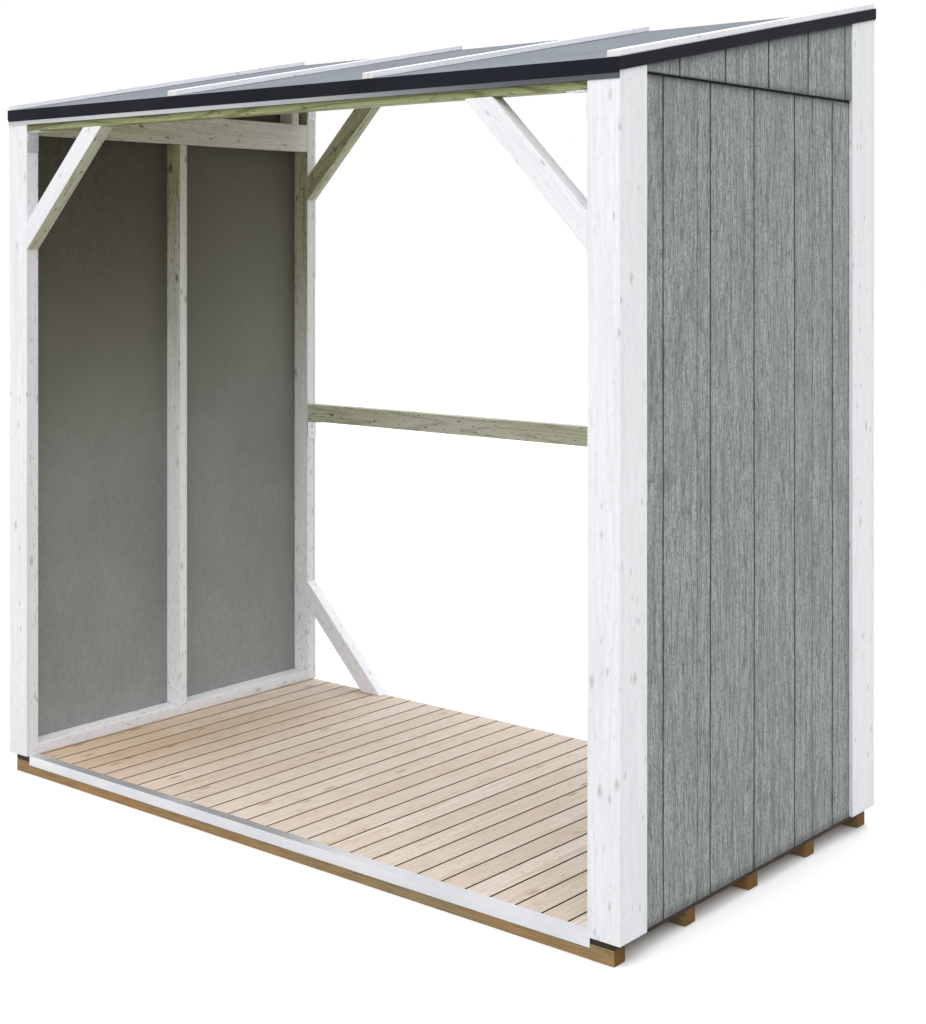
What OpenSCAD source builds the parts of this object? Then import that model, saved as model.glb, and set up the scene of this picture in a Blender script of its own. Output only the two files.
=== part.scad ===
// Log store: an open timber frame with two clad ends, a boarded floor and a single-pitch roof.
// Millimetres. X runs along the front, Y from front to back, Z up. The origin is on the ground,
// at the centre of the plan.

/* [Overall] */
// Width over the end trims
width = 2340; // [1800:10:3600]
// Depth over the front and back trims
depth = 1280; // [900:10:1800]
// Height of the roof's top face above the floor, at the front
front_height = 2032; // [1700:10:2400]
// Roof pitch in degrees
roof_pitch = 11; // [5:1:20]

/* [Floor] */
// Number of bearers under the floor
bearer_count = 5; // [3:1:8]
// Width of a bearer
bearer_w = 45; // [30:1:80]
// Height of a bearer
bearer_h = 37; // [25:1:100]
// Thickness of the floor boards
floor_t = 19; // [15:1:30]
// Nominal width of a floor board
floor_board_w = 75; // [60:1:150]
// Gap between floor boards
floor_gap = 4; // [2:0.5:8]
// Width of the sill angle's top flange
sill_top = 32; // [20:1:60]
// Height of the sill angle's front flange
sill_front = 30; // [20:1:50]
// Metal thickness of the sill angle
sill_t = 2; // [1:0.5:4]

/* [Frame] */
// Depth of the studs and bottom rails, from cladding to inner face
stud_w = 68; // [45:1:100]
// Thickness of the studs and bottom rails
stud_t = 32; // [25:1:60]
// Thickness of the braces
brace_t = 44; // [32:1:70]
// Height of the front header's front face
front_header_h = 51; // [40:1:120]
// Height of the back header's front face
back_header_h = 114; // [60:1:200]
// Height of the gable beams
gable_beam_h = 99; // [60:1:150]
// Thickness of the gable beams
gable_beam_t = 30; // [20:1:45]
// Drop of the gable beams' underside below the roof's top at the front
gable_beam_drop = 80; // [60:1:300]
// Clear way between a gable post and the back stud
gable_post_gap = 44; // [20:1:100]
// Face width of a brace
brace_w = 62; // [45:1:90]
// Length of a front brace's long leg along the post and the header
front_brace_leg = 371; // [250:1:500]
// Length of a back brace's long leg along the stud and the header or floor
back_brace_leg = 363; // [250:1:500]
// Height of the back rail's underside above the floor
back_rail_z = 957; // [600:1:1300]
// Height of the back rail's face
back_rail_h = 63; // [45:1:120]
// Width of a rafter
rafter_w = 38; // [30:1:60]
// Height of a rafter
rafter_h = 45; // [40:1:60]
// Length of an angle bracket's legs
bracket_leg = 65; // [40:1:100]
// Width of an angle bracket
bracket_w = 42; // [25:1:60]
// Metal thickness of an angle bracket
bracket_t = 2.5; // [1.5:0.5:4]

/* [Cladding and trim] */
// Thickness of the wall panels
panel_t = 12; // [6:1:20]
// Thickness of the trim boards
trim_t = 12; // [8:1:22]
// Width of the side trims next to the front
front_side_trim_w = 100; // [60:1:160]
// Width of the side trims next to the back
back_side_trim_w = 122; // [60:1:160]
// Thickness of the gable cladding
gable_t = 9; // [6:1:12]
// Drop of the gable cladding's lower edge below the roof's top at the front
gable_drop = 23; // [0:1:300]

/* [Roof] */
// Thickness of the roof boards
roof_board_t = 18; // [15:1:28]
// Thickness of the roofing felt
felt_t = 3; // [2:0.5:5]
// Overhang of the roof edges on all four sides
edge_t = 4; // [3:0.5:40]
// Height of the verge strips
verge_h = 31; // [25:1:60]
// Height of the front and back edge strips
edge_h = 36; // [25:1:60]
// Thickness of the front edge strip
front_strip_t = 1.5; // [1:0.5:2.5]
// Height of the pale fascia that shows under the front strip
fascia_show = 13; // [5:1:40]
// Number of battens on the felt
batten_count = 4; // [3:1:7]
// Width of a batten
batten_w = 35; // [25:1:60]
// Thickness of a batten
batten_t = 16; // [10:1:30]

/* [Hidden] */

// Planes of the plan
side_x = width / 2;                          // outer face of the side trims
frame_x = side_x - trim_t - panel_t;         // outer face of the studs, and edge of the floor
inner_x = frame_x - stud_w;                  // inner face of the studs
front_y = -depth / 2;                        // face of the front trims
back_y = depth / 2;                          // face of the back trims
frame_front = front_y + trim_t;              // front face of the studs and the floor
frame_back = back_y - trim_t;                // back face of the studs and the floor
front_frame_y = frame_front + stud_t;        // back face of everything in the front frame
back_frame_y = frame_back - stud_t;          // front face of everything in the back frame

// Heights
floor_z = bearer_h + floor_t;                // top of the floor
pitch = tan(roof_pitch);
felt_rise = felt_t / cos(roof_pitch);        // thicknesses measured upright
board_rise = roof_board_t / cos(roof_pitch);
rafter_rise = rafter_h / cos(roof_pitch);
function roof_top(y) = floor_z + front_height + (y - front_y) * pitch;
function roof_under(y) = roof_top(y) - felt_rise - board_rise;
front_header_z = roof_under(frame_front) - front_header_h;
back_header_z = roof_under(back_frame_y) - back_header_h;
gable_beam_z = floor_z + front_height - gable_beam_drop;
gable_z = floor_z + front_height - gable_drop;

trim_w = trim_t + panel_t + stud_w;          // front and back trims end flush with the studs
fascia_t = edge_t - front_strip_t;           // fascia board behind the front strip
batten_pitch = (width - batten_w) / (batten_count - 1);
white = "whitesmoke";
grey = "slategray";
dark = "#26262c";

// A box between two corners
module block(low, high) {
    translate(low) cube(high - low);
}

// A bar that follows the roof's pitch, from x0 to x1 and y0 to y1; its top lies the upright
// distance drop below the roof's top face and it is rise high
module pitched_bar(x0, x1, y0, y1, drop, rise) {
    outline = [
        [y0, roof_top(y0) - drop - rise],
        [y1, roof_top(y1) - drop - rise],
        [y1, roof_top(y1) - drop],
        [y0, roof_top(y0) - drop]
    ];
    translate([x0, 0, 0]) rotate([90, 0, 90]) linear_extrude(x1 - x0) polygon(outline);
}

// Keeps what lies under the roof, or a further upright distance drop below it
module under_roof(drop = 0) {
    reach = edge_t + 50;
    intersection() {
        children();
        pitched_bar(-side_x - reach, side_x + reach, front_y - reach, back_y + reach,
            felt_rise + board_rise + drop, 2 * front_height);
    }
}

// Mirrors a right-hand piece to the left when side is -1
module on_side(side) {
    mirror([side < 0 ? 1 : 0, 0, 0]) children();
}

// ---- Floor ----

module floor_bearers() {
    step = (frame_back - frame_front - bearer_w) / (bearer_count - 1);
    color("peru") for (i = [0:bearer_count - 1])
        block([-frame_x, frame_front + i * step, 0],
              [frame_x, frame_front + i * step + bearer_w, bearer_h]);
}

module floor_boards() {
    count = round((2 * frame_x + floor_gap) / (floor_board_w + floor_gap));
    board_w = (2 * frame_x - (count - 1) * floor_gap) / count;
    color("burlywood") for (i = [0:count - 1]) {
        left = -frame_x + i * (board_w + floor_gap);
        block([left, frame_front, bearer_h], [left + board_w, frame_back, floor_z]);
    }
}

module sill_angle() {
    face_y = frame_front - sill_t;
    color("gainsboro") {
        block([-inner_x, face_y, floor_z], [inner_x, face_y + sill_top, floor_z + sill_t]);
        block([-inner_x, face_y, floor_z + sill_t - sill_front],
              [inner_x, frame_front, floor_z + sill_t]);
    }
}

// ---- End walls ----

module front_stud() {
    color(white) block([inner_x, frame_front, floor_z],
                       [frame_x, frame_front + stud_t, front_header_z]);
}

module back_stud() {
    color(white) block([inner_x, back_frame_y, floor_z], [frame_x, frame_back, back_header_z]);
}

module mid_stud() {
    color(white) block([inner_x, -stud_t / 2, floor_z + stud_t],
                       [frame_x, stud_t / 2, gable_beam_z]);
}

module bottom_rail() {
    color(white) block([inner_x, frame_front + stud_t, floor_z],
                       [frame_x, back_frame_y, floor_z + stud_t]);
}

// Between the front and back headers, cut to the roof
module gable_beam() {
    color(white) under_roof()
        block([inner_x, front_frame_y, gable_beam_z],
              [inner_x + gable_beam_t, back_frame_y, gable_beam_z + gable_beam_h]);
}

// Short posts from the gable beams to the end rafters
module gable_posts() {
    post_back = back_frame_y - gable_post_gap;
    color(white) for (side = [-1, 1]) on_side(side)
        under_roof(rafter_rise)
            block([inner_x, post_back - stud_t, gable_beam_z + gable_beam_h],
                  [frame_x, post_back, 2 * front_height]);
}

module wall_panel() {
    color(grey) under_roof()
        block([frame_x, frame_front, floor_z], [frame_x + panel_t, frame_back, 2 * front_height]);
}

module gable_cladding() {
    color(grey) under_roof()
        block([frame_x + panel_t, frame_front + front_side_trim_w, gable_z],
              [frame_x + panel_t + gable_t, frame_back - back_side_trim_w, 2 * front_height]);
}

module front_trim() {
    color(white) under_roof()
        block([side_x - trim_w, front_y, floor_z], [side_x, frame_front, 2 * front_height]);
}

module back_trim() {
    color(white) under_roof()
        block([side_x - trim_w, frame_back, floor_z], [side_x, back_y, 2 * front_height]);
}

module side_trim_front() {
    color(white) under_roof()
        block([frame_x + panel_t, frame_front, floor_z],
              [side_x, frame_front + front_side_trim_w, 2 * front_height]);
}

module side_trim_back() {
    color(white) under_roof()
        block([frame_x + panel_t, frame_back - back_side_trim_w, floor_z],
              [side_x, frame_back, 2 * front_height]);
}

// ---- Front and back frames ----

// Stands on the front studs and comes flush with the front trims, between them
module front_header() {
    color(white) under_roof() {
        block([-frame_x, frame_front, front_header_z], [frame_x, front_frame_y, 2 * front_height]);
        block([-inner_x, front_y, front_header_z], [inner_x, front_frame_y, 2 * front_height]);
    }
}

// Stands on the back studs and comes flush with the back trims, between them
module back_header() {
    color(white) under_roof() {
        block([-frame_x, back_frame_y, back_header_z], [frame_x, frame_back, 2 * front_height]);
        block([-inner_x, back_frame_y, back_header_z], [inner_x, back_y, 2 * front_height]);
    }
}

module back_rail() {
    color(white) block([-inner_x, back_frame_y, floor_z + back_rail_z],
                       [inner_x, back_y, floor_z + back_rail_z + back_rail_h]);
}

// A 45 degree brace in the corner between a post's inner face and a level face at corner_z,
// on the right-hand side; turn is -1 below the corner and 1 above it
module brace(y0, corner_z, leg, turn) {
    inner_leg = leg - brace_w * sqrt(2);
    outline = [
        [0, turn * leg],
        [0, turn * inner_leg],
        [-inner_leg, 0],
        [-leg, 0]
    ];
    color(white) translate([inner_x, y0 + brace_t, corner_z])
        rotate([90, 0, 0]) linear_extrude(brace_t) polygon(outline);
}

module front_brace(side) {
    on_side(side) brace(front_frame_y - brace_t, front_header_z, front_brace_leg, -1);
}

module back_top_brace(side) {
    on_side(side) brace(back_frame_y, back_header_z, back_brace_leg, -1);
}

module back_foot_brace(side) {
    on_side(side) brace(back_frame_y, floor_z, back_brace_leg, 1);
}

// An angle bracket in the corner under a level piece, against the inner side of a post and its
// trim; middle_y is its middle line
module angle_bracket(middle_y, corner_z) {
    translate([inner_x, middle_y - bracket_w / 2, corner_z]) {
        block([-bracket_t, 0, -bracket_leg], [0, bracket_w, 0]);
        block([-bracket_leg, 0, -bracket_t], [0, bracket_w, 0]);
    }
}

module angle_brackets() {
    color("silver") for (side = [-1, 1]) on_side(side) {
        angle_bracket((front_y + front_frame_y) / 2, front_header_z);
        angle_bracket((back_frame_y + back_y) / 2, floor_z + back_rail_z);
        angle_bracket((back_frame_y + back_y) / 2, back_header_z);
    }
}

// ---- Roof ----

// A rafter from x0 to x1, between the headers
module rafter(x0, x1) {
    pitched_bar(x0, x1, front_frame_y, back_frame_y, felt_rise + board_rise, rafter_rise);
}

// The end rafters fill the way from the gable beams to the wall panels, the others lie under
// the middle battens
module roof_rafters() {
    color(white) {
        for (side = [-1, 1]) on_side(side) rafter(inner_x + gable_beam_t, frame_x);
        for (i = [1:batten_count - 2]) {
            middle = -side_x + batten_w / 2 + i * batten_pitch;
            rafter(middle - rafter_w / 2, middle + rafter_w / 2);
        }
    }
}

module roof_boards() {
    color("tan") pitched_bar(-side_x, side_x, front_y, back_y, felt_rise, board_rise);
}

module roof_felt() {
    color("lightslategray") pitched_bar(-side_x, side_x, front_y - fascia_t, back_y, 0, felt_rise);
}

module front_fascia() {
    low = roof_top(front_y) - edge_h - fascia_show;
    color("lightgray") intersection() {
        block([-side_x, front_y - fascia_t, low], [side_x, front_y, low + 2 * edge_h]);
        pitched_bar(-side_x, side_x, front_y - edge_t, back_y, felt_rise, front_height);
    }
}

module front_edge_strip() {
    color(dark) pitched_bar(-side_x, side_x, front_y - edge_t, front_y - fascia_t, 0, edge_h);
}

module back_edge_strip() {
    color(dark) pitched_bar(-side_x, side_x, back_y, back_y + edge_t, 0, edge_h);
}

module verge_strip() {
    color(dark) pitched_bar(side_x, side_x + edge_t, front_y - edge_t, back_y + edge_t, 0, verge_h);
}

module roof_battens() {
    color(white) for (i = [0:batten_count - 1]) {
        left = -side_x + i * batten_pitch;
        pitched_bar(left, left + batten_w, front_y - fascia_t, back_y, -batten_t, batten_t);
    }
}

floor_bearers();
floor_boards();
sill_angle();
on_side(-1) front_stud();  // left_front_stud
on_side(-1) mid_stud();  // left_mid_stud
on_side(-1) back_stud();  // left_back_stud
on_side(-1) bottom_rail();  // left_bottom_rail
on_side(-1) gable_beam();  // left_gable_beam
on_side(-1) wall_panel();  // left_wall_panel
on_side(-1) gable_cladding();  // left_gable_cladding
on_side(-1) front_trim();  // left_front_trim
on_side(-1) back_trim();  // left_back_trim
on_side(-1) side_trim_front();  // left_side_trim_front
on_side(-1) side_trim_back();  // left_side_trim_back
on_side(1) front_stud();  // right_front_stud
on_side(1) mid_stud();  // right_mid_stud
on_side(1) back_stud();  // right_back_stud
on_side(1) bottom_rail();  // right_bottom_rail
on_side(1) gable_beam();  // right_gable_beam
on_side(1) wall_panel();  // right_wall_panel
on_side(1) gable_cladding();  // right_gable_cladding
on_side(1) front_trim();  // right_front_trim
on_side(1) back_trim();  // right_back_trim
on_side(1) side_trim_front();  // right_side_trim_front
on_side(1) side_trim_back();  // right_side_trim_back
gable_posts();
front_header();
front_brace(-1);  // front_brace_left
front_brace(1);  // front_brace_right
back_header();
back_rail();
back_top_brace(-1);  // back_top_brace_left
back_top_brace(1);  // back_top_brace_right
back_foot_brace(-1);  // back_foot_brace_left
back_foot_brace(1);  // back_foot_brace_right
roof_rafters();
roof_boards();
roof_felt();
front_fascia();
front_edge_strip();
back_edge_strip();
on_side(-1) verge_strip();  // left_verge_strip
on_side(1) verge_strip();  // right_verge_strip
roof_battens();
angle_brackets();
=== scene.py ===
"""Looks of the log store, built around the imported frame: timbers with eased edges, grooved wall
panels with an embossed grain, roofing felt, coated metal edges and perforated angle brackets."""
import math

import bmesh
import bpy
import numpy as np
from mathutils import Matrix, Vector


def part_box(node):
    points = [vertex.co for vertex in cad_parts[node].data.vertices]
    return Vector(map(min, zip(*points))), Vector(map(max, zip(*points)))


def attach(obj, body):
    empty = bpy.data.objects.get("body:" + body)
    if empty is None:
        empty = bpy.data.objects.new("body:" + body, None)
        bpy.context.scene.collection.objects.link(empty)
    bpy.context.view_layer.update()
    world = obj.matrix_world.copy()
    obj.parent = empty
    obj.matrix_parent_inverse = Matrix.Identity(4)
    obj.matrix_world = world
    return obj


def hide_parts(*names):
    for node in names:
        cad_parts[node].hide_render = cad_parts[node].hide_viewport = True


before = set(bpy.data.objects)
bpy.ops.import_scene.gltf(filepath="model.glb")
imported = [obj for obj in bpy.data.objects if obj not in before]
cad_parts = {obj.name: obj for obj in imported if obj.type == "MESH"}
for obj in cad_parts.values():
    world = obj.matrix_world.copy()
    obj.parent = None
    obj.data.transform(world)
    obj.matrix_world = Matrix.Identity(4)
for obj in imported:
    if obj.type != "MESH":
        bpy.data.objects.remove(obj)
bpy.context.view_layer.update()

MM = 0.001
BODY = "root"
UP = Vector((0, 0, 1))
ALONG_X = Vector((1, 0, 0))
ALONG_Y = Vector((0, 1, 0))
SIDES = {"left": -1, "right": 1}


# ---- Sizes read from the frame ----

def span(node):
    """Lowest and highest corner of a CAD node."""
    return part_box(node)


FRONT_Y = span("right_front_trim")[0].y
PANEL_LOW, PANEL_HIGH = span("right_wall_panel")
STRIP_LOW, STRIP_HIGH = span("right_gable_cladding")
FELT_LOW, FELT_HIGH = span("roof_felt")
BOARDS_LOW, BOARDS_HIGH = span("roof_boards")
HEADER_LOW, HEADER_HIGH = span("front_header")


def roof_slope():
    """Rise of the roof per metre towards the back, and the distance and height of one point of
    the roof boards' underside, from a wall panel's sloped top."""
    points = [v.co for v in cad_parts["right_wall_panel"].data.vertices]
    top = {}
    for p in points:
        key = round(p.y, 4)
        top[key] = max(top.get(key, 0), p.z)
    front, back = min(top), max(top)
    return (top[back] - top[front]) / (back - front), front, top[front]


SLOPE, SLOPE_Y, SLOPE_Z = roof_slope()
PITCH = Vector((0, 1, SLOPE)).normalized()


def under_roof(y):
    """Height of the roof boards' underside at a distance y."""
    return SLOPE_Z + (y - SLOPE_Y) * SLOPE


# ---- Mesh helpers ----

WELD_DIST = 0.02 * MM
FLAT_ANGLE = math.radians(0.5)
SHARP_ANGLE = math.radians(8)
END_COSINE = 0.75
FLAT_WEIGHT = 100
# Where a log's heart lies from its piece: metres along it, then shares of flat_sawn across it.
HEART_LOW = (-9, -1, 0.6)
HEART_HIGH = (9, 1, 1.6)
HEART_DEPTH = 1.6


def add_object(name, mesh):
    """Links a mesh as an object of the scene."""
    obj = bpy.data.objects.new(name, mesh)
    bpy.context.scene.collection.objects.link(obj)
    return obj


def to_mesh(shape, name):
    """Turns a bmesh into a mesh of that name and frees the bmesh."""
    mesh = bpy.data.meshes.new(name)
    shape.to_mesh(mesh)
    shape.free()
    return mesh


def cad_shape(node):
    """The shape of a CAD node as a bmesh with whole flat faces."""
    shape = bmesh.new()
    shape.from_mesh(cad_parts[node].data)
    bmesh.ops.remove_doubles(shape, verts=shape.verts, dist=WELD_DIST)
    bmesh.ops.dissolve_limit(
        shape, angle_limit=FLAT_ANGLE, verts=shape.verts, edges=shape.edges
    )
    return shape


def ease_edges(shape, width, rounds=2):
    """Rounds every sharp edge and marks the new faces in the arris layer."""
    arris = shape.faces.layers.float.new("arris")
    sharp = [e for e in shape.edges if e.calc_face_angle(0) > SHARP_ANGLE]
    made = bmesh.ops.bevel(
        shape, geom=sharp, offset=width, offset_type="OFFSET", segments=rounds,
        profile=0.5, affect="EDGES", clamp_overlap=True,
    )
    for face in made["faces"]:
        face[arris] = 1.0


def island_numbers(mesh):
    """For each vertex, the number of the loose piece of mesh that it belongs to."""
    ends = np.empty(len(mesh.edges) * 2, int)
    mesh.edges.foreach_get("vertices", ends)
    first, second = ends[0::2], ends[1::2]
    label = np.arange(len(mesh.vertices))
    while True:
        low = np.minimum(label[first], label[second])
        lower = label.copy()
        np.minimum.at(lower, first, low)
        np.minimum.at(lower, second, low)
        lower = lower[lower]
        if (lower == label).all():
            return np.unique(label, return_inverse=True)[1]
        label = lower


def vertex_places(mesh):
    """All vertex positions of a mesh, one row each."""
    places = np.empty(len(mesh.vertices) * 3)
    mesh.vertices.foreach_get("co", places)
    return places.reshape(-1, 3)


def face_normals(mesh):
    """The normal of every face of a mesh, one row each."""
    normals = np.empty(len(mesh.polygons) * 3)
    mesh.polygons.foreach_get("normal", normals)
    return normals.reshape(-1, 3)


def corner_places(mesh):
    """Place and face normal at every corner of every face of a mesh."""
    corners = np.empty(len(mesh.loops), int)
    mesh.loops.foreach_get("vertex_index", corners)
    counts = np.empty(len(mesh.polygons), int)
    mesh.polygons.foreach_get("loop_total", counts)
    return vertex_places(mesh)[corners], np.repeat(face_normals(mesh), counts, axis=0)


def write_layer(mesh, name, kind, values, domain="POINT"):
    """Stores one value per vertex, face or corner for the materials to read."""
    layer = mesh.attributes.get(name) or mesh.attributes.new(name, kind, domain)
    field = "vector" if kind == "FLOAT_VECTOR" else "value"
    layer.data.foreach_set(field, np.asarray(values, np.float32).ravel())


def log_axes(along):
    """Unit directions along a log and twice across it, one row each."""
    side = np.cross(along, (0, 0, 1) if abs(along[2]) < 0.9 else (0, 1, 0))
    side = side / np.linalg.norm(side)
    return np.array([along, side, np.cross(along, side)])


def log_places(mesh, axes, seed, flat_sawn):
    """Puts every loose piece of a mesh into a log of its own, and gives it a shade from 0 to 1.
    flat_sawn says how far the piece lies from the log's heart."""
    rng = np.random.default_rng(seed)
    number = island_numbers(mesh)
    grain = vertex_places(mesh) @ axes.T
    tone = np.zeros(len(grain))
    for k in range(number.max() + 1):
        own = number == k
        middle = (grain[own].min(0) + grain[own].max(0)) / 2
        heart = rng.uniform(HEART_LOW, HEART_HIGH) * (1, flat_sawn, HEART_DEPTH * flat_sawn)
        grain[own] += heart - middle * (0, 1, 1)
        tone[own] = rng.random()
    return grain, tone


def write_grain(mesh, along, seed, treated=0.0, flat_sawn=0.03):
    """Stores the layers that the materials read: grain holds the distance along the log and the
    place across it, tone a shade for each loose piece, treated how much painted shade shows, or
    below 0 painted light, and end marks sawn ends. treated is a number, or gives one for each
    corner from its place and its face's normal."""
    axes = log_axes(np.array(along))
    grain, tone = log_places(mesh, axes, seed, flat_sawn)
    write_layer(mesh, "grain", "FLOAT_VECTOR", grain)
    write_layer(mesh, "tone", "FLOAT", tone)
    corners, normals = corner_places(mesh)
    shade = treated(corners, normals) if callable(treated) else np.full(len(corners), treated)
    write_layer(mesh, "treated", "FLOAT", shade, "CORNER")
    facing = np.abs(face_normals(mesh) @ axes[0])
    write_layer(mesh, "end", "FLOAT", facing > END_COSINE, "FACE")


def soften(obj):
    """Smooth shading that keeps large faces flat and lets only the eased edges turn."""
    for face in obj.data.polygons:
        face.use_smooth = True
    modifier = obj.modifiers.new("Even normals", "WEIGHTED_NORMAL")
    modifier.mode = "FACE_AREA"
    modifier.weight = FLAT_WEIGHT


def finish_piece(obj, material, slot, *nodes):
    """Gives a piece its material and ties it to the frame in place of its CAD nodes."""
    obj.data.materials.append(material)
    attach(obj, BODY)
    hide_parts(*nodes)
    return obj


def timber(node, material, slot, along, ease, seed, **grain):
    """A sawn or planed piece in the shape of its CAD node, with eased edges and its own grain."""
    shape = cad_shape(node)
    ease_edges(shape, ease)
    mesh = to_mesh(shape, node + "_piece")
    write_grain(mesh, along, seed, **grain)
    obj = add_object(node + "_piece", mesh)
    soften(obj)
    return finish_piece(obj, material, slot, node)


# ---- Node trees ----

class Look:
    """A material and short calls that add nodes to it; grain is the mesh's grain layer."""

    def __init__(self, name):
        self.material = bpy.data.materials.new(name)
        self.material.use_nodes = True
        self.tree = self.material.node_tree
        self.tree.nodes.clear()
        self.shader = self.node("BsdfPrincipled")
        output = self.node("OutputMaterial")
        self.link(self.shader.outputs[0], output.inputs["Surface"])
        self.grain = self.layer("grain", "Vector")

    def node(self, kind):
        """A new node of the material's tree."""
        return self.tree.nodes.new("ShaderNode" + kind)

    def link(self, source, target):
        """Links an output to a socket."""
        self.tree.links.new(source, target)

    def feed(self, target, value):
        """Sets a socket to a number or colour, or links it to another node's output."""
        if isinstance(value, bpy.types.NodeSocket):
            self.link(value, target)
        elif isinstance(value, tuple) and len(value) == 3 and target.type == "RGBA":
            target.default_value = (*value, 1)
        else:
            target.default_value = value

    def layer(self, name, output="Fac"):
        """A layer that the mesh stores."""
        node = self.node("Attribute")
        node.attribute_name = name
        return node.outputs[output]

    def math(self, operation, first, second=0.0, clamp=False):
        """One sum on two numbers, held to 0..1 if clamp is set."""
        node = self.node("Math")
        node.operation = operation
        node.use_clamp = clamp
        self.feed(node.inputs[0], first)
        self.feed(node.inputs[1], second)
        return node.outputs[0]

    def times(self, first, second, clamp=False):
        """Two numbers multiplied."""
        return self.math("MULTIPLY", first, second, clamp)

    def scaled(self, vector, factors):
        """A vector with each of its parts multiplied by its own factor."""
        node = self.node("VectorMath")
        node.operation = "MULTIPLY"
        self.feed(node.inputs[0], vector)
        node.inputs[1].default_value = factors
        return node.outputs[0]

    def split(self, vector):
        """The three parts of a vector or colour."""
        node = self.node("SeparateXYZ")
        self.feed(node.inputs[0], vector)
        return node.outputs

    def position(self):
        """Place on the object; every piece's own origin is the store's."""
        node = self.node("TexCoord")
        return node.outputs["Object"]

    def noise(self, vector, scale=1.0, detail=2.0, roughness=0.5):
        """Cloudy noise, mostly between 0.3 and 0.7."""
        node = self.node("TexNoise")
        self.feed(node.inputs["Vector"], vector)
        node.inputs["Scale"].default_value = scale
        node.inputs["Detail"].default_value = detail
        node.inputs["Roughness"].default_value = roughness
        return node.outputs["Fac"]

    def drawn(self, factors, detail, roughness=0.5):
        """Noise drawn out along the grain; factors are its cells per metre each way."""
        return self.noise(self.scaled(self.grain, factors), 1.0, detail, roughness)

    def cells(self, vector, scale=1.0, output="Distance"):
        """Scattered cells: the distance from a cell's middle, or its own random colour."""
        node = self.node("TexVoronoi")
        self.feed(node.inputs["Vector"], vector)
        node.inputs["Scale"].default_value = scale
        return node.outputs[output]

    def steps(self, value, low, high, start=0.0, end=1.0):
        """Maps low..high smoothly to start..end, held outside."""
        node = self.node("MapRange")
        node.interpolation_type = "SMOOTHSTEP"
        self.feed(node.inputs["Value"], value)
        node.inputs["From Min"].default_value = low
        node.inputs["From Max"].default_value = high
        node.inputs["To Min"].default_value = start
        node.inputs["To Max"].default_value = end
        return node.outputs["Result"]

    def mix(self, factor, first, second, blend="MIX"):
        """The first colour at 0 and the second at 1, or the two blended another way."""
        node = self.node("Mix")
        node.data_type = "RGBA"
        node.blend_type = blend
        self.feed(node.inputs[0], factor)
        self.feed(node.inputs[6], first)
        self.feed(node.inputs[7], second)
        return node.outputs[2]

    def stain(self, colour, mask, low, high, amount, tint, blend="MIX"):
        """Lays tint over colour by 0 to amount as mask goes from low to high."""
        return self.mix(self.steps(mask, low, high, 0.0, amount), colour, tint, blend)

    def cover(self, colour, mask, amount, tint):
        """Lays tint over colour by mask times amount."""
        return self.mix(self.times(mask, amount), colour, tint)

    def lines(self, level):
        """Bright and dark lines, 0 to 1, with one of each in every whole step of level."""
        wave = self.math("SINE", self.times(level, 2 * math.pi))
        return self.times(self.math("ADD", wave, 1.0), 0.5)

    def bump(self, height, strength, distance):
        """Turns the shader's normal by a height."""
        node = self.node("Bump")
        node.inputs["Strength"].default_value = strength
        node.inputs["Distance"].default_value = distance
        self.feed(node.inputs["Height"], height)
        self.link(node.outputs[0], self.shader.inputs["Normal"])

    def surface(self, colour, roughness, **constants):
        """Sets the shader and returns the material; constants are other sockets by name."""
        self.feed(self.shader.inputs["Base Color"], colour)
        self.feed(self.shader.inputs["Roughness"], roughness)
        for name, value in constants.items():
            self.shader.inputs[name.replace("_", " ")].default_value = value
        return self.material


# ---- Materials ----

def ring_lines(look, per_metre, wander):
    """Growth rings of the log as bright and dark lines, 0 to 1."""
    _, side, across = look.split(look.grain)
    radius = look.math("SQRT", look.math("ADD", look.times(side, side),
                                         look.times(across, across)))
    bend = look.drawn((1.1, 9, 9), 3)
    return look.lines(look.math("ADD", look.times(radius, per_metre),
                                look.times(bend, wander)))


def flat_figure(look, stretch, lines, wander=0.5):
    """Arched lines of flat-sawn wood: level lines of a smooth noise drawn out along the log."""
    field = look.drawn(stretch, 1.5)
    jitter = look.drawn((6, 60, 60), 2)
    return look.lines(look.math("ADD", look.times(field, lines),
                                look.times(jitter, wander)))


def knots(look, stretch, share, core=0.10, rim=0.2):
    """Sparse round knots drawn out along the grain, 0 outside and 1 in the core."""
    place = look.scaled(look.grain, stretch)
    wobble = look.drawn((30, 60, 60), 2)
    distance = look.math("ADD", look.cells(place), look.times(wobble, 0.08))
    chance = look.split(look.cells(place, output="Color"))[0]
    chosen = look.math("LESS_THAN", chance, share)
    return look.times(look.steps(distance, core, rim, 1.0, 0.0), chosen)


def painted_interior_shade(look, colour, treated, cloud, figure, dark):
    """Painted shade inside the store, set by the treated layer: olive green over 0, a darker
    painted shadow over 1, with veins, knots and flecks darkened within it.
    """
    # painted shade: olive green where treated is over 0
    stain = look.times(treated, look.steps(cloud, 0.2, 0.8, 0.7, 1.15))
    colour = look.mix(stain, colour, (0.49, 0.52, 0.23), "MULTIPLY")
    # painted shadow: darker still where treated is over 1, as under the roof's edge
    deep_painted_shade = look.math("SUBTRACT", treated, 1.0, clamp=True)
    colour = look.mix(deep_painted_shade, colour, (0.24, 0.26, 0.21), "MULTIPLY")
    vein = look.times(look.steps(figure, 0.7, 1.0, 0.0, 0.5), treated)
    colour = look.mix(vein, colour, (0.42, 0.38, 0.22), "MULTIPLY")
    # knots and flecks turn brown within the painted shade
    bare = look.times(treated, 1.7, clamp=True)
    return look.mix(look.times(dark, bare), colour, (0.085, 0.055, 0.022))


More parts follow.
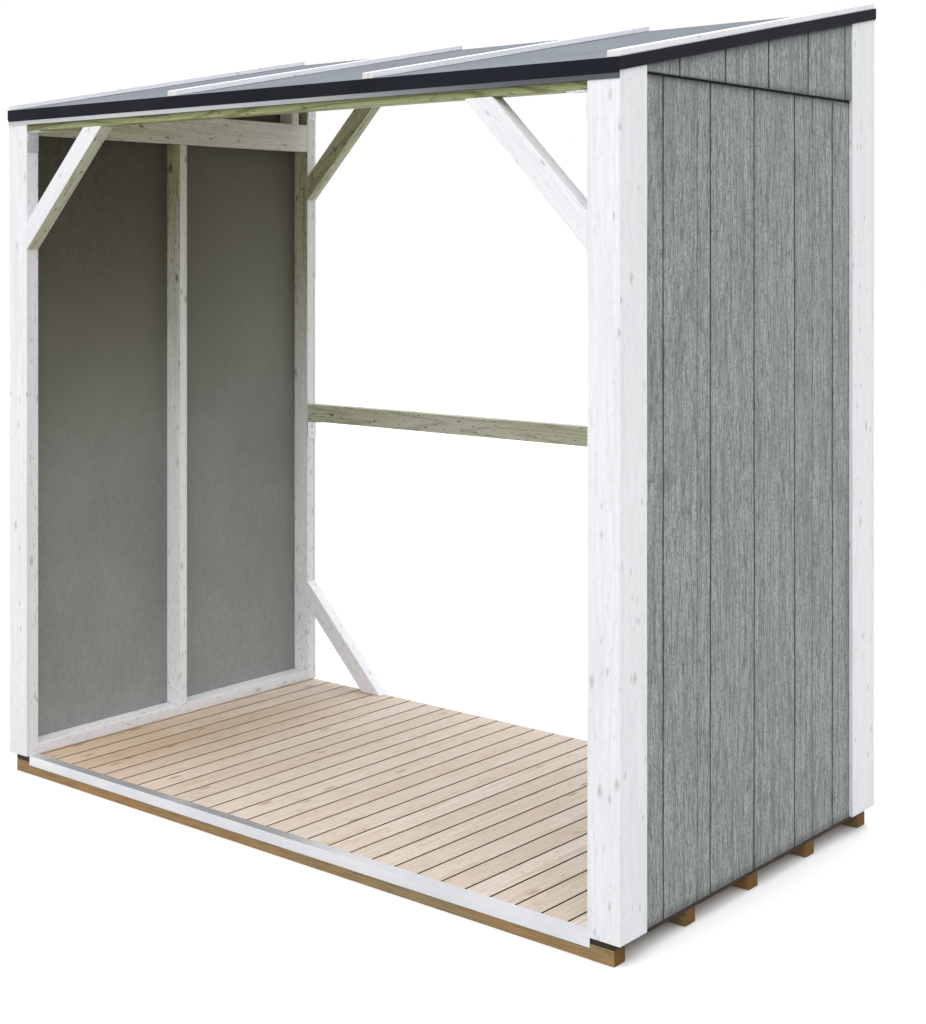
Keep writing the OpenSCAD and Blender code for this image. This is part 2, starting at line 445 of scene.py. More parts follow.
def white_wood():
    """White glaze on planed spruce: the grain, grey knots and short flecks show through. The
    treated layer paints light and shade: over 0 an olive painted shade, over 1 a darker painted
    shadow too, and below 0 painted light, a paler white."""
    look = Look("White_glazed_wood")
    treated = look.layer("treated")
    rings = ring_lines(look, 150, 5)
    figure = flat_figure(look, (0.9, 14, 14), 9)
    fibre = look.drawn((14, 330, 330), 3, 0.6)
    cloud = look.drawn((2.2, 14, 14), 4)
    knot = knots(look, (8.0, 19, 19), 0.5, 0.06, 0.24)
    pin = knots(look, (15, 40, 40), 0.45, 0.10, 0.26)
    fleck = look.drawn((42, 150, 150), 2, 0.7)
    fleck = look.steps(fleck, 0.59, 0.68)
    colour = look.mix(look.steps(rings, 0.1, 1.0, 0.0, 0.38), (0.895, 0.890, 0.935),
                      (0.785, 0.785, 0.825))
    colour = look.stain(colour, figure, 0.6, 1.0, 0.28, (0.74, 0.74, 0.77))
    colour = look.stain(colour, fibre, 0.45, 0.75, 0.5, (0.74, 0.74, 0.775))
    colour = look.stain(colour, cloud, 0.45, 0.75, 0.35, (0.70, 0.71, 0.75))
    # painted light: treated below 0 makes the white paler and bluer
    thick = look.times(treated, -1.0, clamp=True)
    colour = look.mix(thick, colour, (0.93, 0.945, 0.99))
    # flecks show more where the treated layer paints shade or light
    inside = look.times(look.math("ABSOLUTE", treated), 1.2)
    inside = look.math("ADD", inside, 0.28, clamp=True)
    treated = look.math("MAXIMUM", treated, 0.0)
    fleck = look.times(fleck, inside)
    colour = look.cover(colour, fleck, 0.7, (0.40, 0.40, 0.40))
    colour = look.cover(colour, pin, 0.55, (0.38, 0.39, 0.40))
    colour = look.cover(colour, knot, 0.62, (0.38, 0.38, 0.38))
    colour = look.cover(colour, look.layer("end"), 0.35, (0.62, 0.58, 0.50))
    colour = look.cover(colour, look.layer("arris"), 0.18, (0.72, 0.70, 0.66))
    dark = look.math("MAXIMUM", look.times(pin, 0.9), knot)
    dark = look.math("MAXIMUM", look.times(fleck, 0.55), dark)
    colour = painted_interior_shade(look, colour, treated, cloud, figure, dark)
    look.bump(look.math("SUBTRACT", rings, look.times(fibre, 1.4)), 0.3, 0.5 * MM)
    return look.surface(colour, look.steps(fibre, 0.3, 0.8, 0.45, 0.72))


def floor_wood():
    """Untreated planed pine, with a painted shade that makes it darker and warmer at the left front
    by the wall; the board ends and the long side faces that the treated layer marks get a
    near-black painted shade, as in the gaps.
    """
    look = Look("Floor_pine")
    tone = look.layer("tone")
    rings = ring_lines(look, 260, 6)
    fibre = look.drawn((9, 420, 420), 4, 0.6)
    cloud = look.drawn((1.6, 12, 12), 3)
    knot = knots(look, (5.2, 19, 19), 0.65, 0.08, 0.24)
    speck = look.steps(look.drawn((30, 170, 170), 2), 0.58, 0.70)
    colour = look.mix(tone, (0.63, 0.54, 0.465), (0.745, 0.67, 0.605))
    colour = look.stain(colour, rings, 0.35, 1.0, 0.55, (0.54, 0.415, 0.305))
    colour = look.stain(colour, cloud, 0.4, 0.8, 0.45, (0.58, 0.45, 0.35))
    colour = look.stain(colour, fibre, 0.5, 0.74, 0.65, (0.40, 0.295, 0.21))
    colour = look.cover(colour, speck, 0.4, (0.34, 0.24, 0.16))
    colour = look.cover(colour, knot, 0.7, (0.33, 0.19, 0.10))
    place = look.split(look.position())
    # painted shade: darker and warmer towards the left front, by the left wall
    left = look.times(look.steps(place[0], -0.2, -1.1), look.steps(place[1], 0.7, -0.3))
    colour = look.mix(left, colour, (0.87, 0.77, 0.63), "MULTIPLY")
    # painted shade: the eased edges darkened, as along the gaps
    colour = look.cover(colour, look.layer("arris"), 0.6, (0.30, 0.21, 0.14))
    # painted shade: board ends and long side faces near black, as in shadow
    painted_end_and_gap_shade = look.math("MAXIMUM", look.layer("end"), look.layer("treated"))
    colour = look.cover(colour, painted_end_and_gap_shade, 0.99, (0.038, 0.025, 0.017))
    look.bump(look.math("SUBTRACT", rings, fibre), 0.3, 0.4 * MM)
    return look.surface(colour, look.steps(fibre, 0.3, 0.8, 0.5, 0.75), Specular_IOR_Level=0.2)


def bearer_wood():
    """Pressure-treated timber, olive brown to warm brown, darker where sawn across."""
    look = Look("Treated_bearer")
    rings = ring_lines(look, 240, 6)
    fibre = look.drawn((12, 380, 380), 4, 0.65)
    cloud = look.drawn((1.9, 10, 10), 3)
    knot = knots(look, (3.0, 12, 12), 0.35)
    colour = look.mix(look.steps(cloud, 0.35, 0.65), (0.33, 0.255, 0.135), (0.43, 0.245, 0.105))
    colour = look.stain(colour, rings, 0.3, 1.0, 0.3, (0.27, 0.17, 0.075))
    colour = look.stain(colour, fibre, 0.42, 0.7, 0.8, (0.17, 0.105, 0.045))
    colour = look.cover(colour, knot, 0.75, (0.16, 0.07, 0.03))
    colour = look.cover(colour, look.layer("end"), 0.9, (0.161, 0.070, 0.009))
    look.bump(look.math("SUBTRACT", rings, fibre), 0.4, 0.6 * MM)
    return look.surface(colour, look.steps(fibre, 0.3, 0.8, 0.6, 0.85),
                        Specular_IOR_Level=0.25)


def bare_wood():
    """Sawn roof boards, untreated."""
    look = Look("Sawn_roof_board")
    tone = look.layer("tone")
    rings = ring_lines(look, 230, 7)
    fibre = look.drawn((11, 360, 360), 4, 0.65)
    knot = knots(look, (2.4, 10, 10), 0.4)
    colour = look.mix(tone, (0.60, 0.50, 0.34), (0.68, 0.58, 0.42))
    colour = look.stain(colour, rings, 0.3, 1.0, 0.45, (0.47, 0.35, 0.20))
    colour = look.stain(colour, fibre, 0.45, 0.8, 0.4, (0.42, 0.31, 0.18))
    colour = look.cover(colour, knot, 0.8, (0.22, 0.11, 0.05))
    look.bump(look.math("SUBTRACT", rings, fibre), 0.4, 0.6 * MM)
    return look.surface(colour, look.steps(fibre, 0.3, 0.8, 0.6, 0.85))


def cladding():
    """Grey panel with a fine dark and pale grain. The mesh stores relief, the stamped grain, and
    groove, a painted shade that blackens the grooves and holds the painted shadows under the roof's
    edge and under the shadow gap."""
    look = Look("Grey_embossed_panel")
    relief = look.layer("relief")
    groove = look.layer("groove")
    figure = flat_figure(look, (0.7, 7, 7), 9, 0.22)
    line = look.drawn((3.2, 150, 150), 3, 0.6)
    pore = look.drawn((24, 300, 300), 3, 0.7)
    light = look.drawn((13, 250, 250), 3, 0.7)
    fibre = look.drawn((110, 330, 330), 2)
    streak = look.drawn((1.2, 46, 46), 3)
    cloud = look.drawn((2.5, 14, 14), 4)
    colour = look.mix(look.steps(cloud, 0.3, 0.7), (0.325, 0.350, 0.354), (0.390, 0.415, 0.421))
    colour = look.stain(colour, streak, 0.46, 0.72, 0.42, (0.200, 0.215, 0.216))
    colour = look.stain(colour, relief, 0.5, 0.9, 0.3, (0.150, 0.160, 0.156))
    colour = look.stain(colour, light, 0.5, 0.68, 0.6, (0.560, 0.590, 0.600))
    colour = look.stain(colour, figure, 0.66, 1.0, 0.3, (0.150, 0.158, 0.152))
    colour = look.stain(colour, line, 0.52, 0.68, 0.6, (0.120, 0.128, 0.124))
    colour = look.stain(colour, pore, 0.50, 0.64, 0.9, (0.108, 0.115, 0.113))
    colour = look.stain(colour, fibre, 0.48, 0.66, 0.7, (0.12, 0.128, 0.124))
    # painted shade: the groove layer blackens the grooves and paints the shadows under the roof's
    # edge and the shadow gap
    colour = look.stain(colour, groove, 0.1, 0.6, 0.96, (0.022, 0.022, 0.019))
    look.bump(look.times(look.math("ADD", fibre, pore), -1.0), 0.7, 0.7 * MM)
    return look.surface(colour, look.steps(cloud, 0.3, 0.7, 0.55, 0.7), Specular_IOR_Level=0.35)


def panel_back():
    """Bare inner face of the wall panels: matt olive grey with a close fibrous mottle, with painted
    shade that makes it browner and darker towards the top and darkest at its front under the
    header, and painted light that makes it paler by the floor."""
    look = Look("Panel_inner_face")
    speck = look.drawn((150, 190, 190), 3, 0.7)
    mottle = look.drawn((38, 60, 60), 4, 0.65)
    cloud = look.drawn((2.2, 3, 3), 3)
    place = look.split(look.position())
    # painted shade: darker towards the top under the roof, darkest at the front under the header
    top = look.steps(place[2], 0.5, 2.1)
    front = look.times(look.steps(place[1], 0.4, -0.5), look.steps(place[2], 0.7, 1.9))
    colour = look.mix(look.steps(cloud, 0.3, 0.7), (0.250, 0.258, 0.246), (0.305, 0.314, 0.302))
    colour = look.stain(colour, speck, 0.50, 0.68, 0.42, (0.36, 0.36, 0.33))
    colour = look.cover(colour, top, 0.82, (0.100, 0.093, 0.062))
    colour = look.mix(front, colour, (0.56, 0.52, 0.44), "MULTIPLY")
    # painted light: paler by the floor
    low = look.steps(place[2], 0.6, 0.1)
    colour = look.cover(colour, low, 0.5, (0.37, 0.392, 0.392))
    colour = look.stain(colour, mottle, 0.42, 0.62, 0.18, (0.16, 0.16, 0.14))
    look.bump(look.math("ADD", speck, mottle), 0.25, 0.4 * MM)
    return look.surface(colour, look.steps(cloud, 0.3, 0.7, 0.62, 0.75), Specular_IOR_Level=0.3)


def felt():
    """Blue-grey mineral felt with fine slate granules."""
    look = Look("Mineral_roofing_felt")
    granule = look.cells(look.grain, 620, "Color")
    grit = look.split(granule)[0]
    fine = look.noise(look.grain, 1500, detail=2)
    cloud = look.noise(look.grain, 3.2, detail=4)
    colour = look.mix(look.steps(cloud, 0.3, 0.7), (0.121, 0.138, 0.157), (0.149, 0.166, 0.185))
    colour = look.stain(colour, grit, 0.6, 1.0, 0.5, (0.095, 0.107, 0.122))
    colour = look.stain(colour, grit, 0.35, 0.0, 0.4, (0.25, 0.27, 0.29))
    look.bump(look.math("ADD", grit, fine), 0.5, 0.4 * MM)
    return look.surface(colour, 0.9)


def dark_edge():
    """Dark blue-black coated edge strips, slightly scuffed along the arrises."""
    look = Look("Dark_coated_edge")
    scuff = look.drawn((40, 260, 260), 4, 0.7)
    cloud = look.noise(look.grain, 6.0, detail=3)
    colour = look.mix(look.steps(cloud, 0.3, 0.7), (0.009, 0.010, 0.016), (0.014, 0.015, 0.022))
    worn = look.times(look.layer("arris"), look.steps(scuff, 0.45, 0.7, 0.1, 0.5))
    colour = look.mix(worn, colour, (0.07, 0.075, 0.09))
    look.bump(scuff, 0.12, 0.2 * MM)
    return look.surface(colour, look.steps(scuff, 0.3, 0.7, 0.42, 0.6), Specular_IOR_Level=0.08)


def pale_metal():
    """Satin pale metal of the sill angle."""
    look = Look("Pale_satin_metal")
    drawn = look.drawn((3, 700, 700), 3, 0.6)
    cloud = look.noise(look.grain, 5.0, detail=3)
    colour = look.mix(look.steps(cloud, 0.3, 0.7), (0.65, 0.655, 0.68), (0.71, 0.715, 0.735))
    colour = look.stain(colour, drawn, 0.5, 0.8, 0.3, (0.58, 0.60, 0.635))
    look.bump(drawn, 0.06, 0.1 * MM)
    return look.surface(colour, look.steps(drawn, 0.3, 0.7, 0.26, 0.38), Metallic=0.75)


def fascia_metal():
    """Satin metal of the front fascia, with a painted reflection that makes it pale at the left and
    dark grey at the right.
    """
    look = Look("Grey_satin_fascia")
    drawn = look.drawn((3, 700, 700), 3, 0.6)
    cloud = look.drawn((2, 9, 9), 3)
    # painted reflection: pale at the left, dark grey at the right
    right = look.steps(look.split(look.position())[0], -0.5, 1.0)
    colour = look.mix(right, (0.74, 0.755, 0.75), (0.135, 0.145, 0.16))
    colour = look.stain(colour, cloud, 0.3, 0.7, 0.5, (0.80, 0.80, 0.80), "MULTIPLY")
    colour = look.stain(colour, drawn, 0.5, 0.8, 0.3, (0.75, 0.75, 0.77), "MULTIPLY")
    look.bump(drawn, 0.06, 0.1 * MM)
    return look.surface(colour, look.steps(drawn, 0.3, 0.7, 0.26, 0.38), Metallic=0.75)


def zinc():
    """Galvanised sheet with a spangle of crystals."""
    look = Look("Galvanised_steel")
    crystal = look.split(look.cells(look.grain, 260, "Color"))[0]
    stain = look.noise(look.grain, 90, detail=3)
    colour = look.mix(crystal, (0.50, 0.52, 0.52), (0.68, 0.70, 0.70))
    colour = look.stain(colour, stain, 0.5, 0.8, 0.5, (0.40, 0.41, 0.40))
    return look.surface(colour, look.steps(crystal, 0.0, 1.0, 0.35, 0.55), Metallic=0.9)


# ---- Grooved panels ----

NOISE_CELLS = 256


def smooth_noise(x, y, seed):
    """Value noise between 0 and 1 at places x, y, in lattice cells."""
    table = np.random.default_rng(seed).random((NOISE_CELLS + 1, NOISE_CELLS + 1))
    x0 = np.floor(x).astype(int)
    y0 = np.floor(y).astype(int)
    fx = x - x0
    fy = y - y0
    fx = fx * fx * (3 - 2 * fx)
    fy = fy * fy * (3 - 2 * fy)

    def corner(i, j):
        return table[(x0 + i) % NOISE_CELLS, (y0 + j) % NOISE_CELLS]

    low = corner(0, 0) * (1 - fx) + corner(1, 0) * fx
    high = corner(0, 1) * (1 - fx) + corner(1, 1) * fx
    return low * (1 - fy) + high * fy


def embossed_grain(across, along, seed):
    """Depth of the stamped wood grain, 0 on the ridges and 1 in the pores."""
    bend = 12 * MM * smooth_noise(across / 0.10, along / 0.55, seed)
    bend = bend + 3 * MM * smooth_noise(across / 0.04, along / 0.16, seed + 1)
    lines = smooth_noise((across + bend) / (6.5 * MM), along / 0.14, seed + 2)
    fine = smooth_noise((across + bend) / (3.5 * MM), along / 0.06, seed + 3)
    return np.clip(0.62 * lines + 0.38 * fine, 0, 1)


GROOVE_PITCH = 212.5 * MM
WALL_GROOVES = {"first": 199 * MM, "count": 5}
STRIP_GROOVES = {"first": 257 * MM, "count": 5}
GROOVE_W = 6.5 * MM
GROOVE_DEPTH = 4 * MM
GROOVE_COLUMNS = (-1.3, -1.0, -0.55, 0, 0.55, 1.0, 1.3)
GROOVE_REACH = 1.15
GROOVE_SLANT = 0.6
GROOVE_SWAY = 1.6 * MM
SWAY_LENGTH = 0.22
SEAMS = (350 * MM, 934 * MM)
SEAM_W = 4 * MM
SEAM_DEPTH = 2 * MM
RELIEF_DEPTH = 0.7 * MM
COLUMN_W = 2.6 * MM
LEAST_COLUMN_W = 1.2 * MM
ROW_H = 24 * MM
LEAST_ROW_H = 0.2 * MM
GAP_H = 10 * MM
GAP_RAMP = 1 * MM
# How far down and how dark the painted shadows reach under the roof's edge and under the shadow
# gap.
SHADOW_H = 60 * MM
EAVES_SHADOW = 0.42
GAP_SHADOW = 0.34


def groove_places(grooves):
    """Distances of a panel's grooves along Y."""
    return [FRONT_Y + grooves["first"] + i * GROOVE_PITCH for i in range(grooves["count"])]


def column_places(low_y, high_y, grooves):
    """Where the mesh columns stand: evenly, with more across each groove."""
    count = round((high_y - low_y) / COLUMN_W)
    even = np.linspace(low_y, high_y, count + 1)
    extra = [y + share * width / 2 for y, width, _ in grooves
             for share in GROOVE_COLUMNS]
    extra = [y for y in extra if low_y < y < high_y]
    near = [min(abs(e - y) for e in extra) < LEAST_COLUMN_W if extra else False for y in even]
    keep = [y for y, close in zip(even, near) if not close or y in (even[0], even[-1])]
    return np.array(sorted(keep + extra))


def groove_depth(y, z, grooves, seed):
    """How deep the grooves cut, and a 0..1 share of it for the material."""
    depth = np.zeros_like(y)
    share = np.zeros_like(y)
    for k, (middle, width, deep) in enumerate(grooves):
        sway = GROOVE_SWAY * (smooth_noise(z / SWAY_LENGTH, z * 0 + k, seed + k) - 0.5)
        off = np.abs(y - middle - sway) / (width / 2)
        cut = np.clip((GROOVE_REACH - off) / GROOVE_SLANT, 0, 1)
        depth = np.maximum(depth, deep * cut)
        share = np.maximum(share, cut * deep / GROOVE_DEPTH)
    return depth, np.clip(share, 0, 1)


def row_heights(tops, low_z, gap_z):
    """Heights of the mesh rows in each column, up to the sloped top; round a level shadow gap
    the rows lie close together."""
    level = np.array([low_z])
    if gap_z:
        steps = round((gap_z - low_z) / ROW_H)
        edges = gap_z + np.array([-0.5, 0.5]) * GAP_H
        level = np.concatenate([np.linspace(low_z, edges[0] - GAP_RAMP, steps), edges,
                                [edges[1] + GAP_RAMP]])
    start = level[-1]
    share = np.linspace(0, 1, round((tops.max() - start) / ROW_H) + 1)[1:]
    rows = np.hstack([np.tile(level, (len(tops), 1)), start + np.outer(tops - start, share)])
    left = np.arange(rows.shape[1])[::-1]
    return np.minimum(rows, tops[:, None] - left * LEAST_ROW_H)


def panel_relief(y, z, tops, grooves, seed, gap_z):
    """What the outer face carries at places y, z: how deep it is cut, the stamped grain, and the
    groove layer of painted shade, which also holds the painted shadows under the roof's edge and
    under the shadow gap, and paints the gap dark."""
    depth, groove = groove_depth(y, z, grooves, seed)
    relief = embossed_grain(y, z, seed)
    # painted shadow under the roof's edge
    eaves = np.clip(1 - (tops[:, None] - z) / SHADOW_H, 0, 1)
    groove = np.maximum(groove, EAVES_SHADOW * eaves)
    if gap_z:
        in_gap = np.abs(z - gap_z) < 0.5 * GAP_H + 0.5 * GAP_RAMP
        # painted shadow below the shadow gap, and the gap itself painted dark
        under = np.clip(1 - (gap_z - z) / SHADOW_H, 0, 1) * (z < gap_z)
        groove = np.maximum(groove, GAP_SHADOW * under)
        depth = np.where(in_gap, GROOVE_DEPTH, depth)
        groove = np.where(in_gap, 1.0, groove)
    return np.maximum(depth, RELIEF_DEPTH * relief), relief, groove


def panel_mesh(name, low, high, side, grooves, seed, gap_z=None):
    """A closed panel whose outer face carries the grooves and the embossed grain, and a level
    shadow gap at gap_z. low and high are its corners on the right-hand side."""
    ys = column_places(low.y, high.y, grooves)
    tops = under_roof(ys)
    z = row_heights(tops, low.z, gap_z)
    y = np.broadcast_to(ys[:, None], z.shape)
    depth, relief, groove = panel_relief(y, z, tops, grooves, seed, gap_z)
    outer = np.stack([high.x - depth, y, z], -1).reshape(-1, 3)
    wide, tall = z.shape
    back_low = np.stack([np.full(wide, low.x), ys, np.full(wide, low.z)], -1)
    back_top = np.stack([np.full(wide, low.x), ys, tops], -1)
    places = np.concatenate([outer, back_low, back_top])
    places[:, 0] *= side
    faces = panel_faces(wide, tall)
    if side < 0:
        faces = [face[::-1] for face in faces]
    mesh = bpy.data.meshes.new(name)
    mesh.from_pydata(places.tolist(), [], faces)
    write_grain(mesh, UP, seed, flat_sawn=0)
    unstamped = np.zeros(2 * wide)
    write_layer(mesh, "relief", "FLOAT", np.concatenate([relief.ravel(), unstamped]))
    # the groove layer carries painted shade for the grooves, the eaves and the shadow gap
    write_layer(mesh, "groove", "FLOAT", np.concatenate([groove.ravel(), unstamped]))
    mesh.polygons.foreach_set("material_index", inner_faces(wide, tall))
    mesh.polygons.foreach_set("use_smooth", outer_faces(wide, tall))
    return mesh


def panel_faces(wide, tall):
    """Faces of a panel: the outer grid, the inner face, the lower and upper edges, the ends."""
    low = wide * tall
    top = low + wide
    faces = [(i * tall + j, (i + 1) * tall + j, (i + 1) * tall + j + 1, i * tall + j + 1)
             for i in range(wide - 1) for j in range(tall - 1)]
    faces += [(low + i, top + i, top + i + 1, low + i + 1) for i in range(wide - 1)]
    faces += [(i * tall, low + i, low + i + 1, (i + 1) * tall) for i in range(wide - 1)]
    faces += [(i * tall + tall - 1, (i + 1) * tall + tall - 1, top + i + 1, top + i)
              for i in range(wide - 1)]
    faces.append((low, *range(tall), top))
    last = (wide - 1) * tall
    faces.append((top + wide - 1, *range(last + tall - 1, last - 1, -1), low + wide - 1))
    return faces


def inner_faces(wide, tall):
    """1 for the panel's bare inner face, 0 elsewhere."""
    grid = (wide - 1) * (tall - 1)
    return [0] * grid + [1] * (wide - 1) + [0] * (2 * (wide - 1) + 2)


def outer_faces(wide, tall):
    """True for the faces of the stamped grid, which shade smooth."""
    grid = (wide - 1) * (tall - 1)
    return [True] * grid + [False] * (3 * (wide - 1) + 2)


def wall_grooves():
    """The panel's grooves, and two shallow seams between them."""
    seams = [FRONT_Y + seam for seam in SEAMS]
    main = [(y, GROOVE_W, GROOVE_DEPTH) for y in groove_places(WALL_GROOVES)]
    return main + [(y, SEAM_W, SEAM_DEPTH) for y in seams]


def add_panels(stamped, bare):
    """Both wall panels and the strips of cladding over them."""
    strip_grooves = [(y, GROOVE_W, GROOVE_DEPTH) for y in groove_places(STRIP_GROOVES)]
    for seed, (name, side) in enumerate(SIDES.items()):
        mesh = panel_mesh(name + "_panel", PANEL_LOW, PANEL_HIGH, side, wall_grooves(),
                          40 + seed, STRIP_LOW.z)
        panel = add_object(name + "_wall_panel_piece", mesh)
        panel.data.materials.append(stamped)
        finish_piece(panel, bare, "grey_cladding", name + "_wall_panel")
        mesh = panel_mesh(name + "_strip", STRIP_LOW, STRIP_HIGH, side, strip_grooves, 60 + seed)
        strip = add_object(name + "_gable_cladding_piece", mesh)
        strip.data.materials.append(stamped)
        finish_piece(strip, bare, "grey_cladding", name + "_gable_cladding")


# ---- Timbers ----

# Heights where the painted shade under the roof starts and is full, and how strong the painted
# light near the floor is and how fast it fades upwards.
SHADE_FROM = 0.5
SHADE_FULL = 2.0
PAINTED_LIGHT_LOW = 0.75
PAINTED_LIGHT_FADE = 1.5
# Painted shadow on the front header, least at its lower edge and rising under the roof's edge.
EAVES_LEAST = 1.3
EAVES_RISE = 2.0
# Painted shade on the gable beams at the front, and how much it fades towards the back.
BEAM_AT_FRONT = 0.68
BEAM_FADE = 0.6
TO_THE_FRONT = -0.7
DOWNWARDS = -0.3
SIDEWAYS = 0.6
TRIM_EASE = 1.5 * MM
FRAME_EASE = 2 * MM
EDGE_EASE = 1 * MM
THIN_EASE = 0.5 * MM
STRIP_EASE = 0.4 * MM


def under_the_roof(strength, front=1.0):
    """Olive painted shade that grows towards the top, in the shade under the roof, and painted
    light that makes the white paler near the floor; front is the painted shade's share on the faces
    turned to the front, against the others."""
    def shade(places, normals):
        height = (places[:, 2] - SHADE_FROM) / (SHADE_FULL - SHADE_FROM)
        share = strength * np.clip(height, 0, 1) * np.where(normals[:, 1] < TO_THE_FRONT, front, 1)
        # painted light: a paler white towards the floor
        return share - PAINTED_LIGHT_LOW * np.clip(1 - PAINTED_LIGHT_FADE * height, 0, 1)
    return shade


def from_the_eaves(places, normals):
    """The front header's painted shade, a painted shadow heaviest under the roof's edge."""
    height = (places[:, 2] - HEADER_LOW.z) / (HEADER_HIGH.z - HEADER_LOW.z)
    return EAVES_LEAST + EAVES_RISE * np.clip(height, 0, 1)


def towards_the_front(places, normals):
    """The gable beams' painted shade, heavier at the front."""
    depth = (places[:, 1] - FELT_LOW.y) / (FELT_HIGH.y - FELT_LOW.y)
    return BEAM_AT_FRONT - BEAM_FADE * np.clip(depth, 0, 1)


def underneath(strength):
    """Painted shade on the faces turned down only."""
    def shade(places, normals):
        return strength * (normals[:, 2] < DOWNWARDS)
    return shade


def add_trims(white):
    """The white boards outside: corner boards and battens, clean white."""
    for seed, side in enumerate(SIDES):
        for k, part in enumerate(("front_trim", "back_trim", "side_trim_front",
                                  "side_trim_back")):
            timber(f"{side}_{part}", white, "white_wood", UP, TRIM_EASE, 100 + 10 * seed + k)
    timber("roof_battens", white, "white_wood", PITCH, TRIM_EASE, 140)


# The last column is the treated layer: painted shade over 0, painted light, a paler white, below 0.
END_FRAME = {
    "front_stud": (UP, 0, -0.3),
    "mid_stud": (UP, 1, under_the_roof(0.42, 2.2)),
    "back_stud": (UP, 2, under_the_roof(0.15, 6.6)),
    "bottom_rail": (ALONG_Y, 4, -0.5),
    "gable_beam": (ALONG_Y, 5, towards_the_front),
}
CROSS_FRAME = {
    "gable_posts": (UP, 230, 0.2),
    "front_header": (ALONG_X, 231, from_the_eaves),
    "back_header": (ALONG_X, 232, 0.5),
    "back_rail": (ALONG_X, 233, 0.6),
    "roof_rafters": (PITCH, 234, 0.5),
}


def add_frame(white):
    """Studs, rails and beams inside the store: which way each runs, its seed and its painted shade,
    or below 0 painted light.
    """
    for end, side in enumerate(SIDES):
        for part, (along, seed, treated) in END_FRAME.items():
            timber(f"{side}_{part}", white, "white_wood", along, FRAME_EASE,
                   200 + 10 * end + seed, treated=treated)
    for node, (along, seed, treated) in CROSS_FRAME.items():
        timber(node, white, "white_wood", along, FRAME_EASE, seed, treated=treated)


# The second column is the treated layer: painted shade, on the front braces only on the faces
# turned down, or below 0 painted light, a paler white.
BRACES = {
    "front_brace_left": (1, underneath(0.6)),
    "front_brace_right": (-1, underneath(0.6)),
    "back_top_brace_left": (1, 0.75),
    "back_top_brace_right": (-1, 0.75),
    "back_foot_brace_left": (-1, -0.4),
    "back_foot_brace_right": (1, -0.4),
}


def add_braces(white):
    """45 degree braces; each rises one way or the other along X."""
    # stain holds each brace's painted shade or painted light
    for seed, (node, (rise, stain)) in enumerate(BRACES.items()):
        along = Vector((1, 0, rise)).normalized()
        timber(node, white, "white_wood", along, FRAME_EASE, 250 + seed, treated=stain)


def board_sides(places, normals):
    """1 on the floor boards' long side faces, which get a near-black painted shade in the gaps."""
    return np.abs(normals[:, 0]) > SIDEWAYS


def add_floor(pine, treated):
    """Floor boards and the bearers under them."""
    timber("floor_boards", pine, "floor_wood", ALONG_Y, TRIM_EASE, 300, treated=board_sides)
    timber("floor_bearers", treated, "bearer_wood", ALONG_X, FRAME_EASE, 301)


# ---- Roof ----

ROOF_BOARD_W = 98 * MM
ROOF_GROOVE = 4 * MM
LONG_EDGE = 1
FELT_CUTS_X = 140
FELT_CUTS_Y = 60
FELT_WAVE = 1.1 * MM
FELT_WAVE_X = 0.19
FELT_WAVE_Y = 0.31
FELT_SEED = 7
FELT_TOP = 1.5 * MM
FELT_RIM = 0.03


def add_roof_boards(bare):
    """Sawn boards along X with a V groove between neighbours on the underside."""
    length = (BOARDS_HIGH.y - BOARDS_LOW.y) * math.hypot(1, SLOPE)
    count = round(length / ROOF_BOARD_W)
    step = (BOARDS_HIGH.y - BOARDS_LOW.y) / count
    thick = BOARDS_HIGH.z - under_roof(BOARDS_HIGH.y)
    shape = bmesh.new()
    for i in range(count):
        y0 = BOARDS_LOW.y + i * step
        v = ROOF_GROOVE if i else 0
        w = ROOF_GROOVE if i < count - 1 else 0
        outline = [(y0 + v, 0), (y0 + step - w, 0), (y0 + step, ROOF_GROOVE),
                   (y0 + step, thick), (y0, thick), (y0, ROOF_GROOVE)]
        board_prism(shape, outline)
    mesh = to_mesh(shape, "roof_boards_piece")
    write_grain(mesh, ALONG_X, 310)
    obj = add_object("roof_boards_piece", mesh)
    return finish_piece(obj, bare, "bare_wood", "roof_boards")


def board_prism(shape, outline):
    """Adds a board along X; the outline gives y and the height above the boards' underside."""
    ends = []
    for x in (BOARDS_LOW.x, BOARDS_HIGH.x):
        ends.append([shape.verts.new((x, y, under_roof(y) + h)) for y, h in outline])
    first, last = ends
    shape.faces.new(first[::-1])
    shape.faces.new(last)
    for k in range(len(outline)):
        n = (k + 1) % len(outline)
        shape.faces.new((first[k], first[n], last[n], last[k]))


def add_felt(material):
    """The felt, whose top lies in faint waves."""
    shape = cad_shape("roof_felt")
    long_edges = [e for e in shape.edges if abs(e.verts[0].co.x - e.verts[1].co.x) > LONG_EDGE]
    bmesh.ops.subdivide_edges(shape, edges=long_edges, cuts=FELT_CUTS_X, use_grid_fill=True)
    slope_edges = [e for e in shape.edges if abs(e.verts[0].co.y - e.verts[1].co.y) > LONG_EDGE]
    bmesh.ops.subdivide_edges(shape, edges=slope_edges, cuts=FELT_CUTS_Y, use_grid_fill=True)
    mesh = to_mesh(shape, "roof_felt_piece")
    sink_felt(mesh)
    write_grain(mesh, PITCH, 320, flat_sawn=0)
    obj = add_object("roof_felt_piece", mesh)
    soften(obj)
    return finish_piece(obj, material, "felt", "roof_felt")


